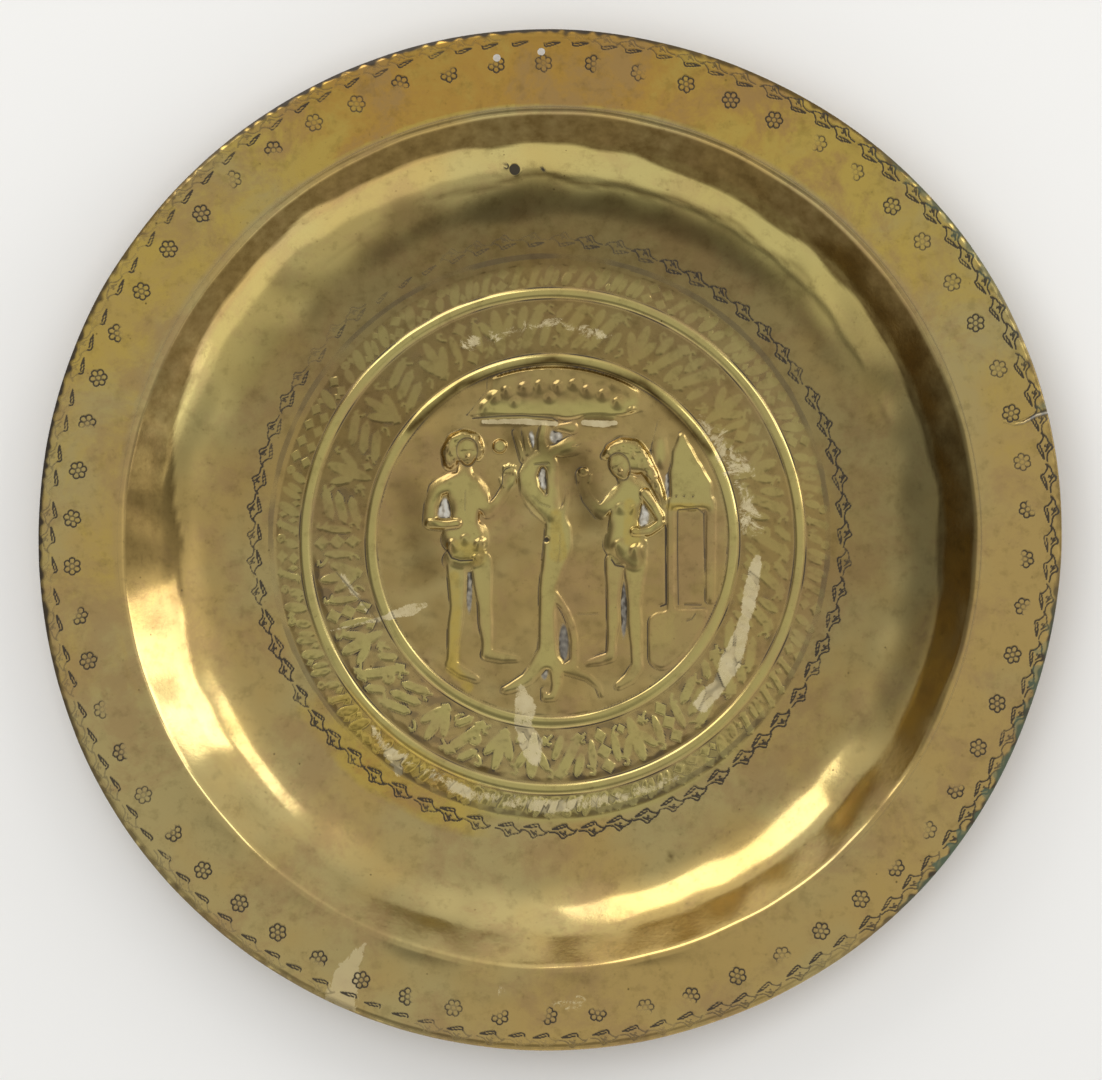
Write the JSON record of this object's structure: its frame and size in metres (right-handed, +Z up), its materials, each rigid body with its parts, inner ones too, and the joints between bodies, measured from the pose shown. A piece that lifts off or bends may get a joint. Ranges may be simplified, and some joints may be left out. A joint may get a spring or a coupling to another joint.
{
  "type": "brass alms dish",
  "caption": "Round beaten brass dish with a wide punched rim, a deep well and a raised medallion of two figures at a tree.",
  "frame": {"origin": "middle of the bottom of the bounding box, on the turning axis, at the underside that the dish rests on", "axes": "+Z up out of the well along the turning axis; +Y towards the two hanging holes in the rim; +X to the right of the raised scene"},
  "size_m": [0.4, 0.3984, 0.0259],
  "materials": {
    "old_brass": "worn and softly polished, with an olive and brown tarnish"
  },
  "bodies": {
    "root": {"dish": "old_brass"}
  },
  "joints": []
}
